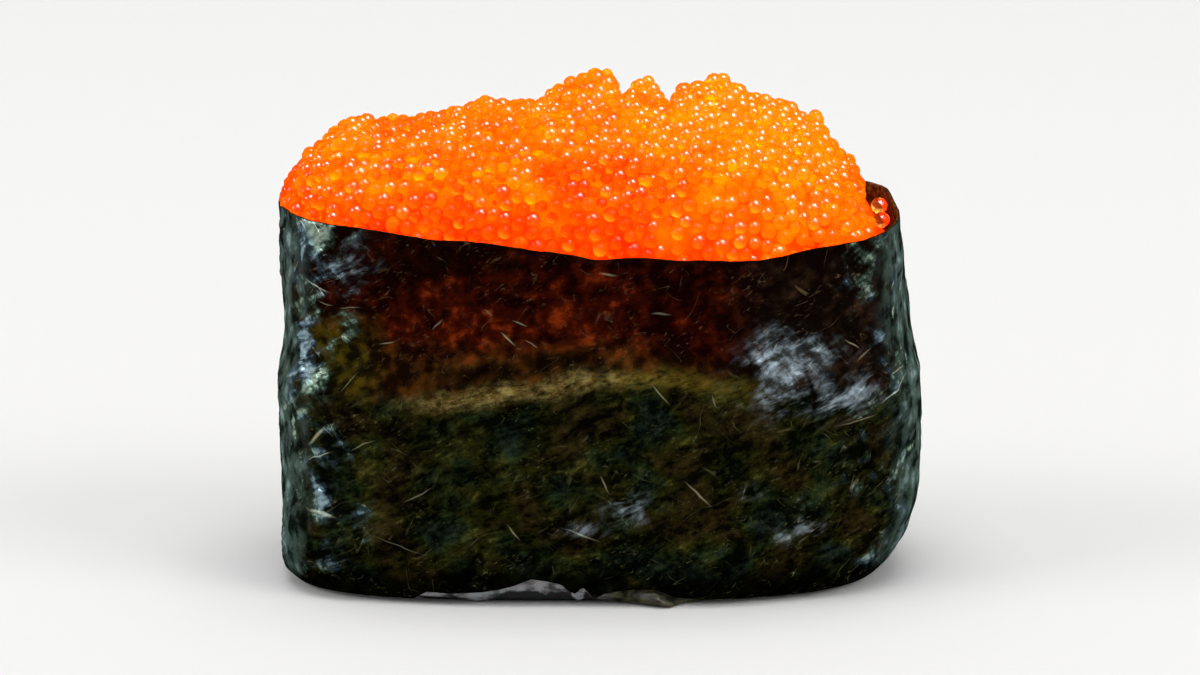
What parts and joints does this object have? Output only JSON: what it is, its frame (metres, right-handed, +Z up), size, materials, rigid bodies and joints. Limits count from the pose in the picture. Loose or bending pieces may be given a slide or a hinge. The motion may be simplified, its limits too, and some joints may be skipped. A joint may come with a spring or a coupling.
{
  "type": "flying fish roe gunkan sushi",
  "caption": "Oblong block of pressed rice wrapped in a tall seaweed strip and heaped over the rim with small round orange fish eggs.",
  "frame": {"origin": "middle of the footprint, on the surface that the roll stands on", "axes": "+X along the roll, +Z up, -Y towards the side that the picture shows; the seaweed's overlap is on the +Y side"},
  "size_m": [0.0548, 0.032, 0.043],
  "materials": {
    "seaweed": "satin",
    "rice": "satin",
    "roe": "gloss"
  },
  "bodies": {
    "root": {"seaweed": "seaweed", "rice": "rice", "roe": "roe"}
  },
  "joints": []
}
